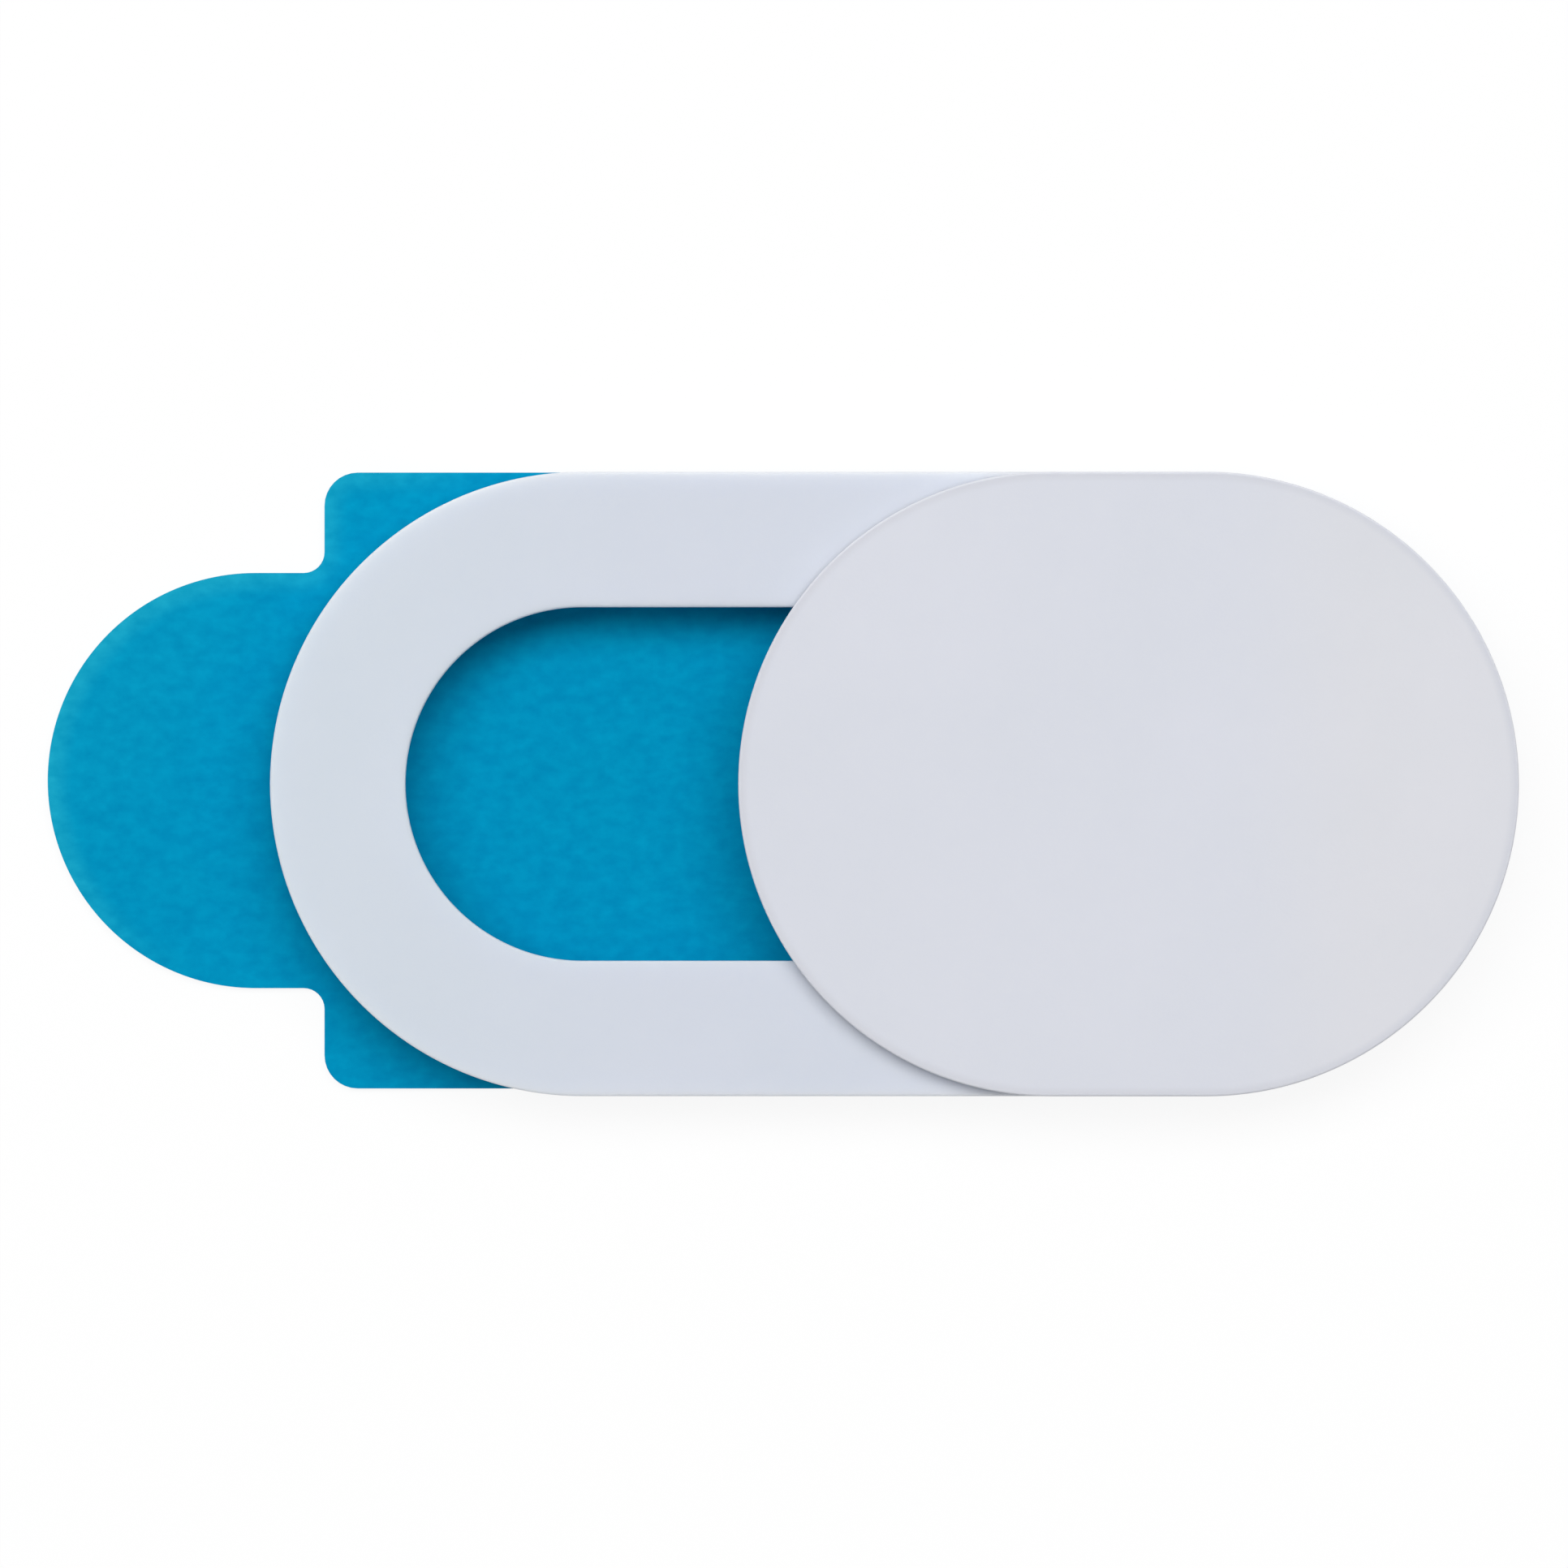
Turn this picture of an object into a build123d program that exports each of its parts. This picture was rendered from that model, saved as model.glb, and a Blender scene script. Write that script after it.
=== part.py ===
from build123d import *
import os

# Stick-on webcam cover, in millimetres: a racetrack frame with a window, a shutter that slides on
# it, a ring of double-sided tape under the frame, and the release liner with its pull tab.
# The origin is under the middle of the frame, on the back of the liner. +X runs along the slide,
# towards the end where the shutter rests with the window open, and +Z points away from the screen.

# Frame outline
frame_straight = 9.0  # between the centres of the two round ends
frame_width = 9.0
rim_width = 1.95  # from the frame's edge to the window's edge

# Frame section
frame_thickness = 0.8
frame_edge_radius = 0.03  # top outer edge
window_edge_radius = 0.03  # top edge of the window

# Shutter plate, as wide as the frame
shutter_straight = 2.25  # between the centres of the two round ends
plate_thickness = 0.2
plate_edge_radius = 0.03  # top edge
plate_under_radius = 0.02  # bottom edge

# Guide under the shutter: two snap rails between two round end stops
guide_wall = 0.6
rail_length = 1.6
rail_slit = 0.25  # cut that frees each end of a rail, so that it can spring
hook_thickness = 0.25
hook_bite = 0.2  # how far a hook reaches under the window's ledge
hook_nose = 0.1  # upright end of a hook, above its sloping lead-in

# Running clearances
guide_clearance = 0.05  # guide to window, on every side
slide_gap = 0.03  # shutter plate to frame, and hook to ledge
hook_end_room = 0.1  # hook to the wall of the rebate
hook_floor_room = 0.1  # hook to the plane of the frame's underside

# Adhesive tape
tape_thickness = 0.15
tape_margin = 0.15  # the tape stays this far inside the edges of the frame's underside

# Release liner
liner_thickness = 0.1
liner_margin = 0.05  # the liner is this much narrower than the frame on each side
liner_offset = 0.05  # it was laid this far off centre, towards +Y
shoulder_inset = 0.77  # from the frame's -X tip to the shoulders of the liner
shoulder_step = 1.45  # from the side of the liner to the side of the tab
shoulder_radius = 0.48
tab_straight = 1.0  # straight part of the tab's sides, before its round end
tab_root_radius = 0.3

# Sizes that follow from those above
window_width = frame_width - 2 * rim_width
rebate_width = window_width + 2 * (hook_bite + hook_end_room)
rebate_depth = hook_floor_room + hook_thickness + slide_gap
guide_width = window_width - 2 * guide_clearance
shutter_rest_x = (frame_straight - shutter_straight) / 2

# Heights, from the back of the liner upwards
tape_bottom = liner_thickness
frame_bottom = tape_bottom + tape_thickness
frame_top = frame_bottom + frame_thickness
ledge_bottom = frame_bottom + rebate_depth
hook_top = ledge_bottom - slide_gap
hook_bottom = hook_top - hook_thickness
plate_bottom = frame_top + slide_gap


def racetrack(straight, width):
    """Flat outline with two straight sides and two half-round ends."""
    round_end = Circle(width / 2)
    return Rectangle(straight, width) + Pos(X=-straight / 2) * round_end + Pos(X=straight / 2) * round_end


def racetrack_block(straight, width, bottom, height):
    """Racetrack outline raised from one height by another."""
    return Pos(Z=bottom) * extrude(racetrack(straight, width), height)


def make_base_frame():
    """Flat ring with a window, cut back underneath so that a ledge is left round the window."""
    body = racetrack_block(frame_straight, frame_width, frame_bottom, frame_thickness)
    body = fillet(body.edges().group_by(Axis.Z)[-1], frame_edge_radius)
    window = racetrack_block(frame_straight, window_width, frame_bottom, frame_thickness)
    rebate = racetrack_block(frame_straight, rebate_width, frame_bottom, rebate_depth)
    ring = body - window - rebate
    top_face = ring.faces().sort_by(Axis.Z)[-1]
    return fillet(top_face.inner_wires()[0].edges(), window_edge_radius)


def make_shutter_plate():
    """Racetrack plate with rounded edges, centred on the origin in plan."""
    plate = racetrack_block(shutter_straight, frame_width, plate_bottom, plate_thickness)
    plate = fillet(plate.edges().group_by(Axis.Z)[-1], plate_edge_radius)
    return fillet(plate.edges().group_by(Axis.Z)[0], plate_under_radius)


def make_guide_wall():
    """Upright racetrack wall that runs in the window, slit into two rails and two end stops."""
    height = plate_bottom - hook_bottom
    outside = racetrack_block(shutter_straight, guide_width, hook_bottom, height)
    inside = racetrack_block(shutter_straight, guide_width - 2 * guide_wall, hook_bottom, height)
    slit = Pos(Z=hook_bottom) * extrude(Rectangle(rail_slit, guide_width), height)
    slit_x = (rail_length + rail_slit) / 2
    slits = Pos(X=slit_x) * slit + Pos(X=-slit_x) * slit
    return outside - inside - slits


def make_snap_hook():
    """Hook along the +Y rail: a flat catch on top, an upright nose and a sloping lead-in below."""
    wall_inside = guide_width / 2 - guide_wall
    wall_outside = guide_width / 2
    tip = window_width / 2 + hook_bite
    section = Polyline(
        (wall_inside, hook_top),
        (tip, hook_top),
        (tip, hook_top - hook_nose),
        (wall_outside, hook_bottom),
        (wall_inside, hook_bottom),
        close=True,
    )
    return extrude(Plane.YZ * make_face(section), rail_length / 2, both=True)


def make_shutter():
    """Plate, guide wall and both hooks as one moulding, at the open end of the slide."""
    hook = make_snap_hook()
    moulding = make_shutter_plate() + make_guide_wall() + hook + mirror(hook, about=Plane.XZ)
    return Pos(X=shutter_rest_x) * moulding


def make_adhesive_tape():
    """Ring of double-sided tape on the frame's underside."""
    outside_width = frame_width - 2 * tape_margin
    inside_width = rebate_width + 2 * tape_margin
    outside = racetrack_block(frame_straight, outside_width, tape_bottom, tape_thickness)
    inside = racetrack_block(frame_straight, inside_width, tape_bottom, tape_thickness)
    return outside - inside


def make_release_liner():
    """Die-cut film with one round end, two square shoulders and a round pull tab."""
    width = frame_width - 2 * liner_margin
    tab_width = width - 2 * shoulder_step
    round_end_x = frame_straight / 2
    shoulder_x = shoulder_inset - (frame_straight + frame_width) / 2
    tab_end_x = shoulder_x - tab_straight
    largest_corner = 0.45 * shoulder_step  # leaves room for both corners of a shoulder

    from_left = (Align.MIN, Align.CENTER)
    sheet = Pos(X=shoulder_x) * Rectangle(round_end_x - shoulder_x, width, align=from_left)
    shoulders = sheet.vertices().group_by(Axis.X)[0]
    sheet = fillet(shoulders, min(shoulder_radius, largest_corner))
    sheet += Pos(X=round_end_x) * Circle(width / 2)
    sheet += Pos(X=tab_end_x) * Rectangle(round_end_x - tab_end_x, tab_width, align=from_left)
    sheet += Pos(X=tab_end_x) * Circle(tab_width / 2)
    tab_roots = sheet.vertices().sort_by_distance((shoulder_x, 0))[:2]
    sheet = fillet(tab_roots, min(tab_root_radius, largest_corner))
    return Pos(Y=liner_offset) * extrude(sheet, liner_thickness)


os.makedirs("parts", exist_ok=True)
export_step(make_base_frame(), "parts/base_frame.step")
export_step(make_shutter(), "parts/shutter.step")
export_step(make_adhesive_tape(), "parts/adhesive_tape.step")
export_step(make_release_liner(), "parts/release_liner.step")
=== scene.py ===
import math

import bmesh
import bpy
from bpy.props import FloatProperty, FloatVectorProperty, PointerProperty
from mathutils import Matrix, Vector


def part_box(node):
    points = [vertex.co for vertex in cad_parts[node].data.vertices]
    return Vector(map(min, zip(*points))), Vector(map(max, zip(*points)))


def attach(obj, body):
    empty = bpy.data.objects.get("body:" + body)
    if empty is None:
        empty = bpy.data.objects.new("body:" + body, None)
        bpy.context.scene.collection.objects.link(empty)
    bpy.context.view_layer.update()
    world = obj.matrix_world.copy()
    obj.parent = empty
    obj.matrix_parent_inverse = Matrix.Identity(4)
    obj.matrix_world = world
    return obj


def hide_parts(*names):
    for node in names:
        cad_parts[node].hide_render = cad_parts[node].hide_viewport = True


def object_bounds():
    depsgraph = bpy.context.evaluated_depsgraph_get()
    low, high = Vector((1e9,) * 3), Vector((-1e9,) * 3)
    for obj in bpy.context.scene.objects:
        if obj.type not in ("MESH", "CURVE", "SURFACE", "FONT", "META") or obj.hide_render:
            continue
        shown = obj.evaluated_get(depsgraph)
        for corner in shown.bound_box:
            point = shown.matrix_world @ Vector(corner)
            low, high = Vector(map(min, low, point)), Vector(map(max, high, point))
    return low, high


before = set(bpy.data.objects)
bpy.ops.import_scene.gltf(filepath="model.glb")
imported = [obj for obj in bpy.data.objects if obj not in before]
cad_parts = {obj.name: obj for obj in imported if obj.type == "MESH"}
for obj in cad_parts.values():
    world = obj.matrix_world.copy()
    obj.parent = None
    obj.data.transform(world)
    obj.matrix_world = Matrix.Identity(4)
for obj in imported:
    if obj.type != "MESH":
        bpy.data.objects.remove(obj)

bl_info = {
    "name": "Webcam Cover",
    "version": (1, 0, 0),
    "blender": (4, 5, 0),
    "location": "3D View > Sidebar > Webcam Cover",
    "description": "Models and finishes a stick-on sliding webcam cover and sets up its studio",
    "category": "Add Mesh",
}

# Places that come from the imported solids, in metres
CAD_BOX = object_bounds()
FRAME_LOW, FRAME_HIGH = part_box("base_frame")
SHUTTER_LOW, SHUTTER_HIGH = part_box("shutter")
TAPE_LOW, TAPE_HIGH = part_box("adhesive_tape")
LINER_LOW, LINER_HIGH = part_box("release_liner")

FRAME_WIDTH = FRAME_HIGH.y - FRAME_LOW.y
FRAME_END_X = FRAME_HIGH.x - FRAME_WIDTH / 2
SHUTTER_X = (SHUTTER_LOW.x + SHUTTER_HIGH.x) / 2
SHUTTER_END_X = SHUTTER_HIGH.x - FRAME_WIDTH / 2 - SHUTTER_X

MM = 0.001

# Mesh fineness
ROUND_END_STEPS = 96
CORNER_STEPS = 8
MERGE_DISTANCE = 0.0001 * MM
SHARP_ANGLE = math.radians(32)
LEVEL_NORMAL = 0.9999

# Marks on vertices: the liner's cut edge, and the band along the shutter's edge, which gets painted shade
CUT_EDGE = "cut_edge"
EDGE_SHADE_MARK = "edge_shade_mark"

# Directions in which colours drift: along the slide, where the shutter's outer end gets painted warm
# light, and towards the lit side, where the liner gets painted highlight
SLIDE_AXIS = Vector((1.0, 0.0, 0.0))
LIT_SIDE = Vector((-0.82, 0.57, 0.0))

# Sockets of a Mix node that hold colours
MIX_FIRST = 6
MIX_SECOND = 7
MIX_RESULT = 2

# Grain that all finishes share
NOISE_DETAIL = 3.0
NOISE_ROUGHNESS = 0.5
NOISE_LOW = 0.25
NOISE_HIGH = 0.75

# Moulded plastic; tones are the darkest and the lightest, as shares of the finish's own colour
PLASTIC_GRAIN_SIZE = 0.05 * MM
PLASTIC_GRAIN_DEPTH = 0.0006 * MM
PLASTIC_CLOUD_SIZE = 2.5 * MM
PLASTIC_TONES = (0.986, 0.99, 0.989), (1.014, 1.01, 1.011)
PLASTIC_ROUGHNESS = 0.5, 0.58
PLASTIC_GLOSS = 0.12

# How far light sinks into each moulding, and how that compares between red, green and blue
FRAME_SCATTER = 0.26 * MM
SHUTTER_SCATTER = 0.04 * MM
EVEN_SCATTER = (1.0, 1.0, 1.0)

# Liner film; its grain is drawn out along X
FILM_GRAIN_SIZE = 0.15 * MM
FILM_DRAWN_OUT = 1.45
FILM_GRAIN_DEPTH = 0.001 * MM
FILM_CLOUD_SIZE = 1.2 * MM
FILM_TONES = (0.5, 0.885, 0.928), (1.5, 1.115, 1.072)
FILM_ROUGHNESS = 0.42, 0.52
FILM_GLOSS = 0.2
FILM_GLOSS_TINT = (0.005, 0.5, 1.0, 1.0)

# Where painted highlight on the film and on its cut edge starts to grow towards the lit side, and where it
# is strongest
FILM_HIGHLIGHT_SPAN = 8.4 * MM, 10.0 * MM
EDGE_HIGHLIGHT_SPAN = 6.5 * MM, 10.0 * MM

# Adhesive tape; its grain and clouds are the film's
TAPE_TONES = (0.96, 0.96, 0.96), (1.04, 1.04, 1.04)
TAPE_ROUGHNESS = 0.35, 0.5

# Studio
WHITE = (1.0, 1.0, 1.0, 1.0)
FLOOR_COLOUR = (0.9, 0.9, 0.9, 1.0)
FLOOR_GAP = 0.01 * MM
SENSOR_WIDTH = 36.0
CAMERA_CLIP = 0.01


def length(name, description, millimetres):
    """Property for a length that is given in millimetres and kept in metres."""
    return FloatProperty(
        name=name,
        description=description,
        default=millimetres * MM,
        min=0.0,
        precision=5,
        subtype="DISTANCE",
        unit="LENGTH",
    )


def angle(name, description, degrees):
    """Property for an angle that is given in degrees and kept in radians."""
    return FloatProperty(
        name=name,
        description=description,
        default=math.radians(degrees),
        subtype="ANGLE",
        unit="ROTATION",
    )


def share(name, description, value):
    """Property for a level from nothing to full."""
    return FloatProperty(
        name=name,
        description=description,
        default=value,
        min=0.0,
        soft_max=1.0,
        subtype="FACTOR",
    )


def colour(name, description, red, green, blue):
    """Property for a linear colour."""
    return FloatVectorProperty(
        name=name,
        description=description,
        default=(red, green, blue),
        min=0.0,
        max=1.0,
        size=3,
        subtype="COLOR",
    )


class CoverSizes(bpy.types.PropertyGroup):
    """Sizes of the cover that its outer boxes don't give."""

    rim_width: length("Rim width", "From the frame's edge to the window's edge", 1.95)
    ledge_thickness: length("Ledge thickness", "Height of the lip round the window", 0.42)
    rebate_width: length("Rebate width", "How far the underside is cut back behind the window", 0.3)
    frame_edge_radius: length("Frame edge radius", "Rounding of the frame's top edge", 0.03)
    window_edge_radius: length("Window edge radius", "Rounding of the window's top edge", 0.03)
    broken_edge_radius: length("Broken edge radius", "Slight rounding of the lower moulded edges", 0.02)
    slide_gap: length("Slide gap", "Clearance between the frame and the shutter, above and below", 0.03)
    plate_edge_radius: length("Plate edge radius", "Rounding of the shutter's top edge", 0.03)
    plate_under_radius: length("Plate under radius", "Rounding of the shutter's bottom edge", 0.02)
    guide_wall: length("Guide wall", "Thickness of the guide under the shutter", 0.6)
    guide_clearance: length("Guide clearance", "Guide to window, on every side", 0.05)
    rail_length: length("Rail length", "Length of each snap rail", 1.6)
    rail_slit: length("Rail slit", "Cut between a snap rail and an end stop", 0.25)
    hook_bite: length("Hook bite", "How far a hook reaches under the ledge", 0.2)
    hook_thickness: length("Hook thickness", "Height of a snap hook", 0.25)
    hook_nose: length("Hook nose", "Upright end of a hook, above its lead-in", 0.1)
    shoulder_inset: length("Shoulder inset", "From the frame's tip to the liner's shoulders", 0.77)
    shoulder_step: length("Shoulder step", "From the liner's side to the tab's side", 1.45)
    shoulder_radius: length("Shoulder radius", "Rounding of the liner's shoulders", 0.48)
    tab_root_radius: length("Tab root radius", "Rounding where the tab meets a shoulder", 0.3)
    cut_band: length("Cut band", "Width of the paler band along the liner's cut edge", 0.38)
    # Painted shade: width of the greyer band that stands in for the shadow line along the shutter's edge
    edge_shade_band: length("Edge band", "Width of the greyer band along the shutter's edge", 0.16)


class CoverColours(bpy.types.PropertyGroup):
    """Colours of the cover's four finishes."""

    frame_cool: colour("Frame cool end", "Cooler white at the frame's tab end", 0.692, 0.744, 0.807)
    frame_plastic: colour("Frame plastic", "White of the rest of the frame", 0.7, 0.733, 0.806)
    shutter_plastic: colour("Shutter plastic", "White of the shutter", 0.734, 0.752, 0.81)
    # Painted light: warmer white that stands in for warm light falling on the shutter's outer end
    shutter_warm_light: colour("Shutter warm end", "Warmer white at the shutter's outer end", 0.752, 0.76, 0.8)
    # Painted shade: greyer white that stands in for the shadow line along the shutter's edge
    shutter_edge_shade: colour("Shutter edge", "Greyer white along the shutter's edge", 0.695, 0.707, 0.758)
    liner_film: colour("Liner film", "Blue of the release liner", 0.0005, 0.273, 0.502)
    liner_green: colour("Liner green", "Greener blue of the liner's clouds", 0.0005, 0.281, 0.497)
    # Painted highlight: paler blue at the tab's far end, on the side that faces the light
    liner_highlight_end: colour("Liner pale end", "Paler blue at the far end of the tab", 0.0012, 0.294, 0.511)
    # Paler blue along the cut edge: partly the film's own paler cut edge, partly painted highlight, as it
    # shows only towards the lit side
    liner_cut_edge_highlight: colour("Liner cut edge", "Paler blue along the liner's cut edge", 0.009, 0.362, 0.546)
    tape: colour("Tape", "Milky white of the adhesive tape", 0.72, 0.72, 0.69)


class StudioSettings(bpy.types.PropertyGroup):
    """Light and camera."""

    key_bearing: angle("Key bearing", "How far the key light stands to the left of +Y", 12.0)
    key_elevation: angle("Key elevation", "Height of the key light above the horizon", 67.0)
    key_distance: length("Key distance", "From the cover to the key light", 300.0)
    key_length: length("Key length", "Level side of the key light", 600.0)
    key_height: length("Key height", "Other side of the key light", 150.0)
    key_level: share("Key level", "Share of full light that the key light gives a level surface", 0.7)
    fill_level: share("Fill level", "Share of full light that the sky gives a level surface", 0.3)
    shadow_share: share("Shadow share", "How much of the cover's shadow shows on the floor", 0.1)
    camera_distance: length("Camera distance", "From the floor to the camera", 400.0)
    view_width: length("View width", "Width of the picture at the top of the frame", 22.604)
    camera_x: FloatProperty(
        name="Camera X",
        description="Place of the camera along the slide",
        default=-1.59 * MM,
        subtype="DISTANCE",
        unit="LENGTH",
    )
    floor_size: length("Floor size", "Side of the square floor", 1200.0)


# Mesh tools


def only(kind, elements):
    """The elements of one bmesh kind."""
    return [element for element in elements if isinstance(element, kind)]


def round_corner(bm, vert, radius):
    """Rounds one corner of a flat face."""
    bmesh.ops.bevel(
        bm,
        geom=[vert],
        offset=radius,
        offset_type="OFFSET",
        segments=CORNER_STEPS,
        profile=0.5,
        affect="VERTICES",
        material=-1,
    )


def draw_section(bm, corners):
    """Draws a section as a face in the plane X = 0, on the -Y side of the origin, and returns the face.

    Each corner is its distance from the origin's upright axis, its height and its rounding.
    """
    others = set(bm.faces)
    verts = [bm.verts.new((0.0, -radius, height)) for radius, height, rounding in corners]
    bm.faces.new(verts)
    for vert, (radius, height, rounding) in zip(verts, corners):
        if rounding > 0.0:
            round_corner(bm, vert, rounding)
    return next(face for face in bm.faces if face not in others)


def slide(bm, edges, distance):
    """Moves the vertices of some edges along X."""
    verts = list({vert for edge in edges for vert in edge.verts})
    bmesh.ops.translate(bm, verts=verts, vec=(distance, 0.0, 0.0))


def sweep_straight(bm, edges, distance):
    """Carries a section along X and returns its edges at the far end."""
    made = bmesh.ops.extrude_edge_only(bm, edges=edges)["geom"]
    verts = set(only(bmesh.types.BMVert, made))
    far_edges = [edge for edge in only(bmesh.types.BMEdge, made) if verts.issuperset(edge.verts)]
    slide(bm, far_edges, distance)
    return far_edges


def sweep_round(bm, edges, axis_x):
    """Carries a section half a turn about an upright axis and returns its edges at the far end."""
    verts = list({vert for edge in edges for vert in edge.verts})
    made = bmesh.ops.spin(
        bm,
        geom=verts + edges,
        cent=(axis_x, 0.0, 0.0),
        axis=(0.0, 0.0, 1.0),
        angle=math.pi,
        steps=ROUND_END_STEPS,
        use_merge=False,
        use_duplicate=False,
    )
    return only(bmesh.types.BMEdge, made["geom_last"])


def sweep_racetrack(bm, edges, end_x):
    """Carries a section all the way round a racetrack whose ends turn about X = end_x and X = -end_x."""
    slide(bm, edges, end_x)
    edges = sweep_round(bm, edges, end_x)
    edges = sweep_straight(bm, edges, -2.0 * end_x)
    edges = sweep_round(bm, edges, -end_x)
    sweep_straight(bm, edges, 2.0 * end_x)
    bmesh.ops.remove_doubles(bm, verts=bm.verts, dist=MERGE_DISTANCE)


def racetrack_ring(corners, end_x):
    """Closed ring with one section all round."""
    bm = bmesh.new()
    section = draw_section(bm, corners)
    edges = list(section.edges)
    bmesh.ops.delete(bm, geom=[section], context="FACES_ONLY")
    sweep_racetrack(bm, edges, end_x)
    return bm


def at_height(element, height):
    """True where all the vertices of an edge or face are at one height."""
    return all(abs(vert.co.z - height) < MERGE_DISTANCE for vert in element.verts)


def open_edges(bm, height):
    """Edges at one height that have a face on one side only."""
    return [edge for edge in bm.edges if edge.is_boundary and at_height(edge, height)]


def add_piece(name, bm, material, body, node):
    """Turns a finished bmesh into a piece that rides on a body and stands for a solid."""
    bmesh.ops.remove_doubles(bm, verts=bm.verts, dist=MERGE_DISTANCE)
    bmesh.ops.recalc_face_normals(bm, faces=bm.faces)
    for face in bm.faces:
        face.smooth = abs(face.normal.z) < LEVEL_NORMAL
    for edge in bm.edges:
        edge.smooth = edge.calc_face_angle(0.0) < SHARP_ANGLE
    mesh = bpy.data.meshes.new(name)
    bm.to_mesh(mesh)
    bm.free()
    mesh.materials.append(material)
    piece = bpy.data.objects.new(name, mesh)
    bpy.context.scene.collection.objects.link(piece)
    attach(piece, body)
    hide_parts(node)


# Pieces


def frame_mesh(size):
    """Flat ring with rounded top edges and a rebate under the window's edge."""
    outer = FRAME_WIDTH / 2
    window = outer - size.rim_width
    rebate = window + size.rebate_width
    ledge_bottom = FRAME_HIGH.z - size.ledge_thickness
    corners = [
        (rebate, FRAME_LOW.z, 0.0),
        (outer, FRAME_LOW.z, size.broken_edge_radius),
        (outer, FRAME_HIGH.z, size.frame_edge_radius),
        (window, FRAME_HIGH.z, size.window_edge_radius),
        (window, ledge_bottom, size.broken_edge_radius),
        (rebate, ledge_bottom, 0.0),
    ]
    return racetrack_ring(corners, FRAME_END_X)


def tape_mesh(size):
    """Flat ring of tape, set in from the edges of the frame's underside."""
    outer = (TAPE_HIGH.y - TAPE_LOW.y) / 2
    margin = FRAME_WIDTH / 2 - outer
    inner = FRAME_WIDTH / 2 - size.rim_width + size.rebate_width + margin
    corners = [
        (inner, TAPE_LOW.z, 0.0),
        (outer, TAPE_LOW.z, 0.0),
        (outer, TAPE_HIGH.z, 0.0),
        (inner, TAPE_HIGH.z, 0.0),
    ]
    return racetrack_ring(corners, FRAME_END_X)


def add_plate(bm, size, bottom):
    """Shutter plate with rounded edges, open underneath."""
    outer = FRAME_WIDTH / 2
    inner = outer - size.rim_width / 2
    top = SHUTTER_HIGH.z
    corners = [
        (inner, bottom, 0.0),
        (outer, bottom, size.plate_under_radius),
        (outer, top, size.plate_edge_radius),
        # Ring of vertices where the painted shade band starts
        (outer - size.edge_shade_band, top, 0.0),
        (inner, top, 0.0),
    ]
    section = draw_section(bm, corners)
    inner_edge = min(section.edges, key=lambda edge: sum(abs(vert.co.y) for vert in edge.verts))
    edges = [edge for edge in section.edges if edge != inner_edge]
    bmesh.ops.delete(bm, geom=[inner_edge], context="EDGES")
    sweep_racetrack(bm, edges, SHUTTER_END_X)
    bmesh.ops.contextual_create(bm, geom=open_edges(bm, top))


def add_end_stop(bm, size, bottom, top):
    """Half-round wall under the +X half of the shutter, which meets the end of the window."""
    outside = FRAME_WIDTH / 2 - size.rim_width - size.guide_clearance
    inside = outside - size.guide_wall
    start_x = size.rail_length / 2 + size.rail_slit
    corners = [
        (inside, bottom, size.broken_edge_radius),
        (outside, bottom, size.broken_edge_radius),
        (outside, top, 0.0),
        (inside, top, 0.0),
    ]
    edges = list(draw_section(bm, corners).edges)
    slide(bm, edges, start_x)
    edges = sweep_straight(bm, edges, SHUTTER_END_X - start_x)
    edges = sweep_round(bm, edges, SHUTTER_END_X)
    edges = sweep_straight(bm, edges, start_x - SHUTTER_END_X)
    bmesh.ops.contextual_create(bm, geom=edges)


def add_snap_rail(bm, size, bottom, top):
    """Straight rail on the -Y side of the shutter, with a hook that reaches under the ledge."""
    window = FRAME_WIDTH / 2 - size.rim_width
    outside = window - size.guide_clearance
    inside = outside - size.guide_wall
    tip = window + size.hook_bite
    catch = bottom + size.hook_thickness
    corners = [
        (inside, bottom, size.broken_edge_radius),
        (outside, bottom, 0.0),
        (tip, catch - size.hook_nose, 0.0),
        (tip, catch, 0.0),
        (outside, catch, 0.0),
        (outside, top, 0.0),
        (inside, top, 0.0),
    ]
    edges = list(draw_section(bm, corners).edges)
    slide(bm, edges, -size.rail_length / 2)
    edges = sweep_straight(bm, edges, size.rail_length)
    bmesh.ops.contextual_create(bm, geom=edges)


def guide_mesh(size, bottom, top):
    """Two snap rails and two end stops, open on top where they grow out of the plate."""
    bm = bmesh.new()
    add_end_stop(bm, size, bottom, top)
    add_snap_rail(bm, size, bottom, top)
    turned = bmesh.ops.duplicate(bm, geom=bm.verts[:] + bm.edges[:] + bm.faces[:])["geom"]
    half_turn = Matrix.Rotation(math.pi, 3, "Z")
    bmesh.ops.rotate(bm, verts=only(bmesh.types.BMVert, turned), cent=(0.0, 0.0, 0.0), matrix=half_turn)
    top_faces = [face for face in bm.faces if at_height(face, top)]
    bmesh.ops.delete(bm, geom=top_faces, context="FACES")
    return bm


def mark_outer_edge(bm, size):
    """Marks the vertices on the plate's rounded edges and on the wall between them, where the shutter's
    finish gets painted shade.
    """
    edge_shade_mark = bm.verts.layers.float.new(EDGE_SHADE_MARK)
    limit = FRAME_WIDTH / 2 - size.edge_shade_band + MERGE_DISTANCE
    for vert in bm.verts:
        past_end = max(abs(vert.co.x) - SHUTTER_END_X, 0.0)
        vert[edge_shade_mark] = float(math.hypot(past_end, vert.co.y) > limit)


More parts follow.
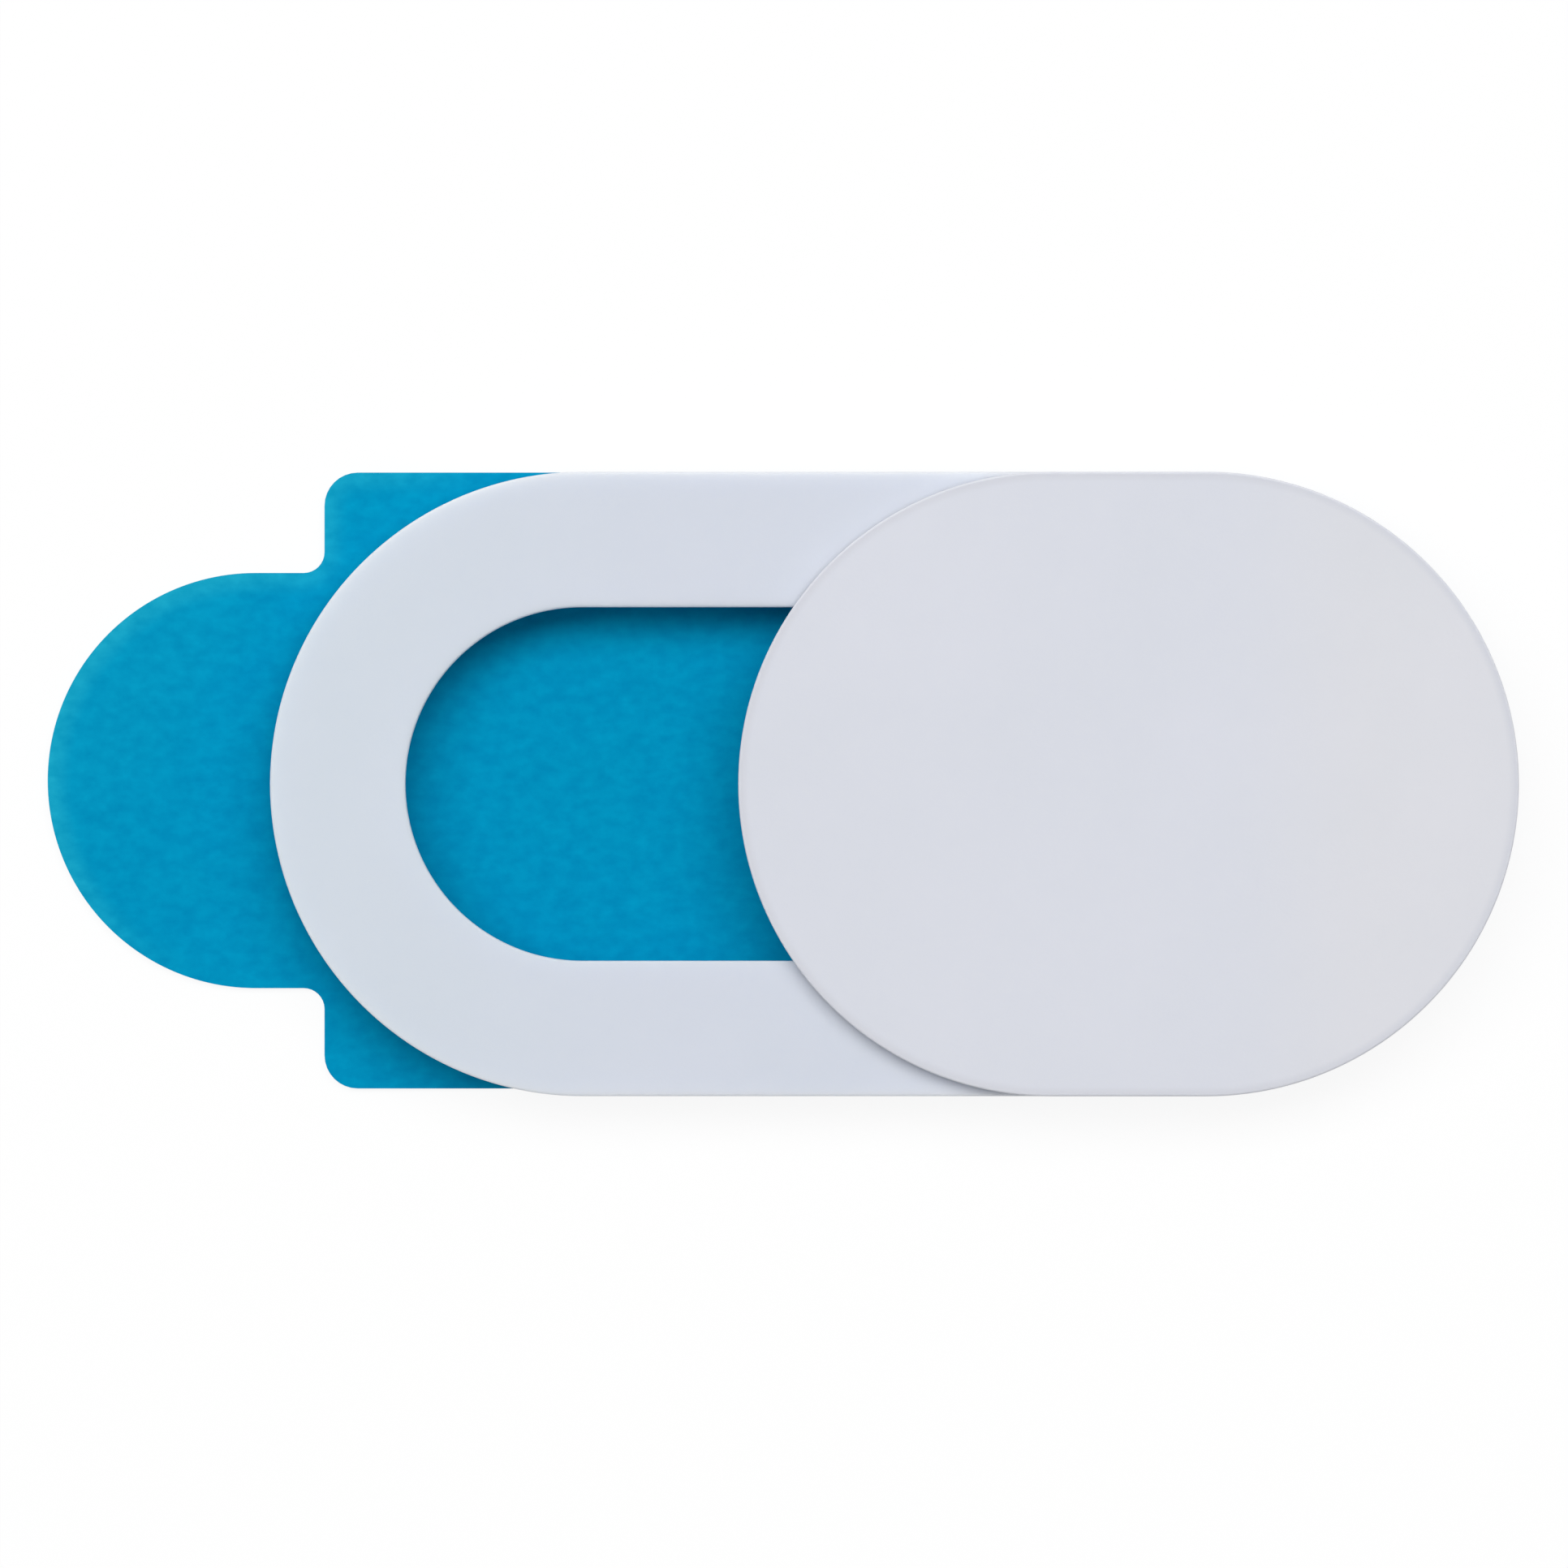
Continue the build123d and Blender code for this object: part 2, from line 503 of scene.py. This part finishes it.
def shutter_mesh(size):
    """Plate and guide as one closed moulding."""
    plate_bottom = FRAME_HIGH.z + size.slide_gap
    bm = guide_mesh(size, SHUTTER_LOW.z, plate_bottom)
    add_plate(bm, size, plate_bottom)
    under_edges = open_edges(bm, plate_bottom)
    bmesh.ops.triangle_fill(bm, edges=under_edges, use_beauty=True, normal=(0.0, 0.0, -1.0))
    mark_outer_edge(bm, size)
    bmesh.ops.translate(bm, verts=bm.verts, vec=(SHUTTER_X, 0.0, 0.0))
    return bm


def draw_half_circle(bm, start, axis_x):
    """Turns a dot half a circle about an upright axis and returns the last dot."""
    made = bmesh.ops.spin(
        bm,
        geom=[start],
        cent=(axis_x, 0.0, 0.0),
        axis=(0.0, 0.0, 1.0),
        angle=math.pi,
        steps=ROUND_END_STEPS,
        use_merge=False,
        use_duplicate=False,
    )
    return only(bmesh.types.BMVert, made["geom_last"])[0]


def draw_line(bm, start, x, y):
    """Draws a line from a dot to a place and returns the new dot."""
    end = bm.verts.new((x, y, 0.0))
    bm.edges.new((start, end))
    return end


def liner_face(bm, size):
    """Outline of the liner on the plane Z = 0: a round end, two shoulders and a round tab."""
    side = (LINER_HIGH.y - LINER_LOW.y) / 2
    tab_side = side - size.shoulder_step
    tab_x = LINER_LOW.x + tab_side
    shoulder_x = FRAME_LOW.x + size.shoulder_inset

    first = bm.verts.new((FRAME_END_X, -side, 0.0))
    dot = draw_half_circle(bm, first, FRAME_END_X)
    upper_shoulder = draw_line(bm, dot, shoulder_x, side)
    upper_root = draw_line(bm, upper_shoulder, shoulder_x, tab_side)
    dot = draw_line(bm, upper_root, tab_x, tab_side)
    dot = draw_half_circle(bm, dot, tab_x)
    lower_root = draw_line(bm, dot, shoulder_x, -tab_side)
    lower_shoulder = draw_line(bm, lower_root, shoulder_x, -side)
    bm.edges.new((lower_shoulder, first))
    bmesh.ops.contextual_create(bm, geom=bm.edges[:])

    for corner in (upper_shoulder, lower_shoulder):
        round_corner(bm, corner, size.shoulder_radius)
    for corner in (upper_root, lower_root):
        round_corner(bm, corner, size.tab_root_radius)
    return next(iter(bm.faces))


def liner_mesh(size):
    """Die-cut film, with a mark on the vertices of its cut edge."""
    thickness = LINER_HIGH.z - LINER_LOW.z
    centre_y = (LINER_LOW.y + LINER_HIGH.y) / 2
    bm = bmesh.new()
    made = bmesh.ops.extrude_face_region(bm, geom=[liner_face(bm, size)])["geom"]
    bmesh.ops.translate(bm, verts=only(bmesh.types.BMVert, made), vec=(0.0, 0.0, thickness))
    bmesh.ops.recalc_face_normals(bm, faces=bm.faces)
    cut_edge = bm.verts.layers.float.new(CUT_EDGE)
    for vert in bm.verts:
        vert[cut_edge] = 1.0
    flat_faces = [face for face in bm.faces if at_height(face, 0.0) or at_height(face, thickness)]
    bmesh.ops.inset_region(bm, faces=flat_faces, thickness=size.cut_band, use_even_offset=True)
    for vert in {vert for face in flat_faces for vert in face.verts}:
        vert[cut_edge] = 0.0
    bmesh.ops.translate(bm, verts=bm.verts, vec=(0.0, centre_y, LINER_LOW.z))
    return bm


# Materials


def add_node(tree, kind, **values):
    """Adds a shader node, with values for its sockets by name."""
    node = tree.nodes.new(kind)
    for name, value in values.items():
        node.inputs[name.replace("_", " ")].default_value = value
    return node


def surface_grain_group():
    """Node group that gives any moulded or rolled surface its fine grain and its broad cloudiness."""
    name = "Surface Grain"
    if name in bpy.data.node_groups:
        return bpy.data.node_groups[name]
    tree = bpy.data.node_groups.new(name, "ShaderNodeTree")
    tree.interface.new_socket("Vector", in_out="INPUT", socket_type="NodeSocketVector")
    for label in ("Grain", "Cloud"):
        tree.interface.new_socket(label + " Size", in_out="INPUT", socket_type="NodeSocketFloat")
        tree.interface.new_socket(label, in_out="OUTPUT", socket_type="NodeSocketFloat")
    inputs = tree.nodes.new("NodeGroupInput")
    outputs = tree.nodes.new("NodeGroupOutput")
    for label in ("Grain", "Cloud"):
        frequency = tree.nodes.new("ShaderNodeMath")
        frequency.operation = "DIVIDE"
        frequency.inputs[0].default_value = 1.0
        noise = add_node(tree, "ShaderNodeTexNoise", Detail=NOISE_DETAIL, Roughness=NOISE_ROUGHNESS)
        stretch = add_node(tree, "ShaderNodeMapRange", From_Min=NOISE_LOW, From_Max=NOISE_HIGH)
        tree.links.new(inputs.outputs[label + " Size"], frequency.inputs[1])
        tree.links.new(inputs.outputs["Vector"], noise.inputs["Vector"])
        tree.links.new(frequency.outputs["Value"], noise.inputs["Scale"])
        tree.links.new(noise.outputs["Fac"], stretch.inputs["Value"])
        tree.links.new(stretch.outputs["Result"], outputs.inputs[label])
    return tree


def new_material(name):
    """Empty material with its shader, and the tree that holds it."""
    material = bpy.data.materials.new(name)
    material.use_nodes = True
    tree = material.node_tree
    return material, tree, tree.nodes["Principled BSDF"]


def add_grain(tree, grain_size, cloud_size, drawn_out=1.0):
    """Places the grain group on a piece's own coordinates, drawn out along X if wanted."""
    place = tree.nodes.new("ShaderNodeTexCoord")
    squeezed = tree.nodes.new("ShaderNodeVectorMath")
    squeezed.operation = "MULTIPLY"
    squeezed.inputs[1].default_value = (1.0 / drawn_out, 1.0, 1.0)
    grain = tree.nodes.new("ShaderNodeGroup")
    grain.node_tree = surface_grain_group()
    grain.inputs["Grain Size"].default_value = grain_size
    grain.inputs["Cloud Size"].default_value = cloud_size
    tree.links.new(place.outputs["Object"], squeezed.inputs[0])
    tree.links.new(squeezed.outputs["Vector"], grain.inputs["Vector"])
    return grain


def mix_colours(tree, mask, first, second):
    """Mixes two colours, each a colour or a socket, by a mask."""
    mix = tree.nodes.new("ShaderNodeMix")
    mix.data_type = "RGBA"
    tree.links.new(mask, mix.inputs["Factor"])
    for socket, value in ((mix.inputs[MIX_FIRST], first), (mix.inputs[MIX_SECOND], second)):
        if isinstance(value, bpy.types.NodeSocket):
            tree.links.new(value, socket)
        else:
            socket.default_value = (*value, 1.0)
    return mix.outputs[MIX_RESULT]


def set_range(tree, value, limits):
    """Stretches a value from 0 to 1 over a range."""
    low, high = limits
    stretch = add_node(tree, "ShaderNodeMapRange", To_Min=low, To_Max=high)
    tree.links.new(value, stretch.inputs["Value"])
    return stretch.outputs["Result"]


def soft_step(tree, value, start, end):
    """Mask that grows softly from 0 to 1 as a value goes from start to end."""
    step = add_node(tree, "ShaderNodeMapRange", From_Min=start, From_Max=end)
    step.interpolation_type = "SMOOTHSTEP"
    tree.links.new(value, step.inputs["Value"])
    return step.outputs["Result"]


def along(tree, direction, start, end):
    """Mask that grows from 0 to 1 between two distances from the origin in one direction."""
    place = tree.nodes.new("ShaderNodeTexCoord")
    distance = tree.nodes.new("ShaderNodeVectorMath")
    distance.operation = "DOT_PRODUCT"
    distance.inputs[1].default_value = direction
    tree.links.new(place.outputs["Object"], distance.inputs[0])
    return soft_step(tree, distance.outputs["Value"], start, end)


def along_mark(tree, name):
    """Mask that grows towards the vertices that carry a mark."""
    mark = tree.nodes.new("ShaderNodeAttribute")
    mark.attribute_name = name
    return soft_step(tree, mark.outputs["Fac"], 0.0, 1.0)


def join_masks(tree, operation, first, second):
    """Mask that a maths operation makes of two others."""
    join = tree.nodes.new("ShaderNodeMath")
    join.operation = operation
    tree.links.new(first, join.inputs[0])
    tree.links.new(second, join.inputs[1])
    return join.outputs["Value"]


def add_bump(tree, shader, height, depth):
    """Raises the shader's surface by a height map of a given depth."""
    bump = add_node(tree, "ShaderNodeBump", Strength=1.0, Distance=depth)
    tree.links.new(height, bump.inputs["Height"])
    tree.links.new(bump.outputs["Normal"], shader.inputs["Normal"])


def mottled(tree, mask, base, tones):
    """Colour that varies by a mask between its darkest and its lightest tone."""
    dark, light = (tuple(channel * part for channel, part in zip(base, tone)) for tone in tones)
    return mix_colours(tree, mask, dark, light)


def moulded_plastic(name, whites, drift_x, scatter):
    """White plastic with a fine matt moulded grain, into which light sinks a little.

    Its first white drifts to the second between two places along the slide; on the shutter, the second
    white is painted warm light.
    """
    material, tree, shader = new_material(name)
    grain = add_grain(tree, PLASTIC_GRAIN_SIZE, PLASTIC_CLOUD_SIZE)
    cloud = grain.outputs["Cloud"]
    drift = along(tree, SLIDE_AXIS, *drift_x)
    tones = [mottled(tree, cloud, white, PLASTIC_TONES) for white in whites]
    tree.links.new(mix_colours(tree, drift, *tones), shader.inputs["Base Color"])
    tree.links.new(set_range(tree, cloud, PLASTIC_ROUGHNESS), shader.inputs["Roughness"])
    add_bump(tree, shader, grain.outputs["Grain"], PLASTIC_GRAIN_DEPTH)
    shader.inputs["Specular IOR Level"].default_value = PLASTIC_GLOSS
    shader.inputs["Subsurface Weight"].default_value = 1.0
    shader.inputs["Subsurface Radius"].default_value = EVEN_SCATTER
    shader.inputs["Subsurface Scale"].default_value = scatter
    return material


def paint_edge_shade(material, edge_shade_colour):
    """Paints shade into a finish where a piece's outer edge is marked: a greyer band that stands in for
    the shadow line along the edge.
    """
    tree = material.node_tree
    base = tree.nodes["Principled BSDF"].inputs["Base Color"]
    plain = base.links[0].from_socket
    tree.links.new(mix_colours(tree, along_mark(tree, EDGE_SHADE_MARK), plain, edge_shade_colour), base)


def liner_film(name, blue, green, pale, cut_edge):
    """Blue film with a mottled grain, greener clouds, a painted highlight at the end that faces the light,
    and a paler cut edge that is partly its own colour and partly painted highlight towards that side.
    """
    material, tree, shader = new_material(name)
    grain = add_grain(tree, FILM_GRAIN_SIZE, FILM_CLOUD_SIZE, FILM_DRAWN_OUT)
    cloud = grain.outputs["Cloud"]
    tone = mottled(tree, grain.outputs["Grain"], blue, FILM_TONES)
    # Painted highlight: the film and its cut edge grow paler towards the side that faces the light
    highlight_end_mask = along(tree, LIT_SIDE, *FILM_HIGHLIGHT_SPAN)
    highlight_edge_mask = along(tree, LIT_SIDE, *EDGE_HIGHLIGHT_SPAN)
    highlight_edge_mask = join_masks(tree, "MULTIPLY", highlight_edge_mask, along_mark(tree, CUT_EDGE))
    for hue, mask in ((green, cloud), (pale, highlight_end_mask), (cut_edge, highlight_edge_mask)):
        tone = mix_colours(tree, mask, tone, mottled(tree, grain.outputs["Grain"], hue, FILM_TONES))
    tree.links.new(tone, shader.inputs["Base Color"])
    tree.links.new(set_range(tree, cloud, FILM_ROUGHNESS), shader.inputs["Roughness"])
    add_bump(tree, shader, grain.outputs["Grain"], FILM_GRAIN_DEPTH)
    shader.inputs["Specular IOR Level"].default_value = FILM_GLOSS
    shader.inputs["Specular Tint"].default_value = FILM_GLOSS_TINT
    return material


def adhesive(name, base):
    """Milky adhesive tape."""
    material, tree, shader = new_material(name)
    grain = add_grain(tree, FILM_GRAIN_SIZE, FILM_CLOUD_SIZE)
    tone = mottled(tree, grain.outputs["Cloud"], base, TAPE_TONES)
    tree.links.new(tone, shader.inputs["Base Color"])
    tree.links.new(set_range(tree, grain.outputs["Grain"], TAPE_ROUGHNESS), shader.inputs["Roughness"])
    return material


def seen_mask(tree):
    """Mask of the rays that show the background: seen straight, in a reflection or through glass."""
    path = tree.nodes.new("ShaderNodeLightPath")
    seen = path.outputs["Is Camera Ray"]
    for ray in ("Is Glossy Ray", "Is Transmission Ray"):
        seen = join_masks(tree, "MAXIMUM", seen, path.outputs[ray])
    return seen


def mix_shaders(tree, mask, first, second):
    """Mixes two shaders by a mask, which is a value or a socket."""
    mix = tree.nodes.new("ShaderNodeMixShader")
    if isinstance(mask, bpy.types.NodeSocket):
        tree.links.new(mask, mix.inputs["Fac"])
    else:
        mix.inputs["Fac"].default_value = mask
    tree.links.new(first, mix.inputs[1])
    tree.links.new(second, mix.inputs[2])
    return mix.outputs["Shader"]


def white_floor(shadow_share):
    """Pale floor that is seen as white, with part of the cover's shadow on it."""
    material, tree, shader = new_material("white_floor")
    tree.nodes.remove(shader)
    matt = add_node(tree, "ShaderNodeBsdfDiffuse", Color=FLOOR_COLOUR)
    shaded = add_node(tree, "ShaderNodeBsdfDiffuse", Color=WHITE)
    bright = add_node(tree, "ShaderNodeEmission", Color=WHITE, Strength=1.0)
    shown = mix_shaders(tree, shadow_share, bright.outputs["Emission"], shaded.outputs["BSDF"])
    surface = mix_shaders(tree, seen_mask(tree), matt.outputs["BSDF"], shown)
    tree.links.new(surface, tree.nodes["Material Output"].inputs["Surface"])
    return material


# Stage


def add_floor(studio):
    """Square floor just under the cover."""
    bm = bmesh.new()
    half = studio.floor_size / 2
    bmesh.ops.create_grid(bm, x_segments=1, y_segments=1, size=half)
    bmesh.ops.translate(bm, verts=bm.verts, vec=(0.0, 0.0, CAD_BOX[0].z - FLOOR_GAP))
    mesh = bpy.data.meshes.new("floor")
    bm.to_mesh(mesh)
    bm.free()
    mesh.materials.append(white_floor(studio.shadow_share))
    floor = bpy.data.objects.new("floor", mesh)
    bpy.context.scene.collection.objects.link(floor)


def long_light_share(half_length):
    """Share of a long light's power that reaches the cover, next to a small light's.

    The half length is in distances to the light; the ends are farther off and shine askew.
    """
    return (half_length / (1.0 + half_length**2) + math.atan(half_length)) / (2.0 * half_length)


def add_key_light(studio):
    """Long soft box above the cover, behind it and a little to the left."""
    light = bpy.data.lights.new("key_light", "AREA")
    light.shape = "RECTANGLE"
    light.size = studio.key_length
    light.size_y = studio.key_height
    rise = math.sin(studio.key_elevation)
    level_share = rise * long_light_share(studio.key_length / (2.0 * studio.key_distance))
    light.energy = studio.key_level * (math.pi * studio.key_distance) ** 2 / level_share
    reach = math.cos(studio.key_elevation)
    direction = Vector((-math.sin(studio.key_bearing) * reach, math.cos(studio.key_bearing) * reach, rise))
    lamp = bpy.data.objects.new("key_light", light)
    lamp.location = direction * studio.key_distance
    lamp.rotation_euler = direction.to_track_quat("Z", "Y").to_euler()
    lamp.visible_camera = False
    bpy.context.scene.collection.objects.link(lamp)


def set_sky(studio):
    """Even white sky that fills the shadows and is seen as plain white."""
    world = bpy.data.worlds.new("studio_sky")
    world.use_nodes = True
    tree = world.node_tree
    fill = tree.nodes["Background"]
    fill.inputs["Color"].default_value = WHITE
    fill.inputs["Strength"].default_value = studio.fill_level
    white = add_node(tree, "ShaderNodeBackground", Color=WHITE, Strength=1.0)
    sky = mix_shaders(tree, seen_mask(tree), fill.outputs["Background"], white.outputs["Background"])
    tree.links.new(sky, tree.nodes["World Output"].inputs["Surface"])
    bpy.context.scene.world = world


def add_camera(studio):
    """Camera that looks straight down, with +Y up in the picture."""
    data = bpy.data.cameras.new("camera")
    data.sensor_width = SENSOR_WIDTH
    data.lens = SENSOR_WIDTH * (studio.camera_distance - FRAME_HIGH.z) / studio.view_width
    data.clip_start = CAMERA_CLIP * studio.camera_distance
    camera = bpy.data.objects.new("camera", data)
    camera.location = (studio.camera_x, 0.0, studio.camera_distance)
    bpy.context.scene.collection.objects.link(camera)
    bpy.context.scene.camera = camera


# Operators


class COVER_OT_base_frame(bpy.types.Operator):
    """Model the frame with its window"""

    bl_idname = "webcam_cover.base_frame"
    bl_label = "Base Frame"

    def execute(self, context):
        colours = context.scene.cover_colours
        whites = colours.frame_cool, colours.frame_plastic
        drift_x = FRAME_LOW.x, SHUTTER_LOW.x
        material = moulded_plastic("frame_moulded_white", whites, drift_x, FRAME_SCATTER)
        bm = frame_mesh(context.scene.cover_sizes)
        add_piece("frame_moulding", bm, material, "base", "base_frame")
        return {"FINISHED"}


class COVER_OT_shutter(bpy.types.Operator):
    """Model the sliding shutter with its guide"""

    bl_idname = "webcam_cover.shutter"
    bl_label = "Shutter"

    def execute(self, context):
        colours = context.scene.cover_colours
        # The shutter's white drifts into painted warm light at its outer end
        whites = colours.shutter_plastic, colours.shutter_warm_light
        sizes = context.scene.cover_sizes
        drift_x = FRAME_END_X, SHUTTER_HIGH.x - sizes.rim_width
        material = moulded_plastic("shutter_moulded_white", whites, drift_x, SHUTTER_SCATTER)
        # Painted shade along the shutter's edge, in place of the shadow line there
        paint_edge_shade(material, colours.shutter_edge_shade)
        bm = shutter_mesh(sizes)
        add_piece("shutter_moulding", bm, material, "slider", "shutter")
        return {"FINISHED"}


class COVER_OT_adhesive_tape(bpy.types.Operator):
    """Model the ring of double-sided tape"""

    bl_idname = "webcam_cover.adhesive_tape"
    bl_label = "Adhesive Tape"

    def execute(self, context):
        material = adhesive("milky_adhesive", context.scene.cover_colours.tape)
        bm = tape_mesh(context.scene.cover_sizes)
        add_piece("tape_ring", bm, material, "base", "adhesive_tape")
        return {"FINISHED"}


class COVER_OT_release_liner(bpy.types.Operator):
    """Model the release liner with its pull tab"""

    bl_idname = "webcam_cover.release_liner"
    bl_label = "Release Liner"

    def execute(self, context):
        colours = context.scene.cover_colours
        hues = colours.liner_film, colours.liner_green, colours.liner_highlight_end, colours.liner_cut_edge_highlight
        material = liner_film("blue_film", *hues)
        bm = liner_mesh(context.scene.cover_sizes)
        add_piece("liner_sheet", bm, material, "base", "release_liner")
        return {"FINISHED"}


class COVER_OT_stage(bpy.types.Operator):
    """Set up the floor, the light and the camera"""

    bl_idname = "webcam_cover.stage"
    bl_label = "Stage"

    def execute(self, context):
        studio = context.scene.cover_studio
        add_floor(studio)
        add_key_light(studio)
        set_sky(studio)
        add_camera(studio)
        context.scene.view_settings.view_transform = "Standard"
        return {"FINISHED"}


class COVER_PT_panel(bpy.types.Panel):
    """Sizes, colours and light of the webcam cover, and the steps that make it"""

    bl_idname = "COVER_PT_panel"
    bl_label = "Webcam Cover"
    bl_space_type = "VIEW_3D"
    bl_region_type = "UI"
    bl_category = "Webcam Cover"

    def draw(self, context):
        scene = context.scene
        for group in (scene.cover_sizes, scene.cover_colours, scene.cover_studio):
            box = self.layout.box()
            for name in group.__annotations__:
                box.prop(group, name)
        for operator in OPERATORS:
            self.layout.operator(operator.bl_idname)


GROUPS = {"cover_sizes": CoverSizes, "cover_colours": CoverColours, "cover_studio": StudioSettings}
OPERATORS = (
    COVER_OT_base_frame,
    COVER_OT_shutter,
    COVER_OT_adhesive_tape,
    COVER_OT_release_liner,
    COVER_OT_stage,
)
CLASSES = (*GROUPS.values(), *OPERATORS, COVER_PT_panel)


def register():
    """Adds the classes and the scene's settings."""
    for item in CLASSES:
        bpy.utils.register_class(item)
    for name, group in GROUPS.items():
        setattr(bpy.types.Scene, name, PointerProperty(type=group))


def unregister():
    """Takes away what register adds."""
    for name in GROUPS:
        delattr(bpy.types.Scene, name)
    for item in reversed(CLASSES):
        bpy.utils.unregister_class(item)


def main():
    """Makes every piece and the stage."""
    register()
    bpy.ops.webcam_cover.base_frame()
    bpy.ops.webcam_cover.shutter()
    bpy.ops.webcam_cover.adhesive_tape()
    bpy.ops.webcam_cover.release_liner()
    bpy.ops.webcam_cover.stage()


if __name__ == "__main__":
    main()
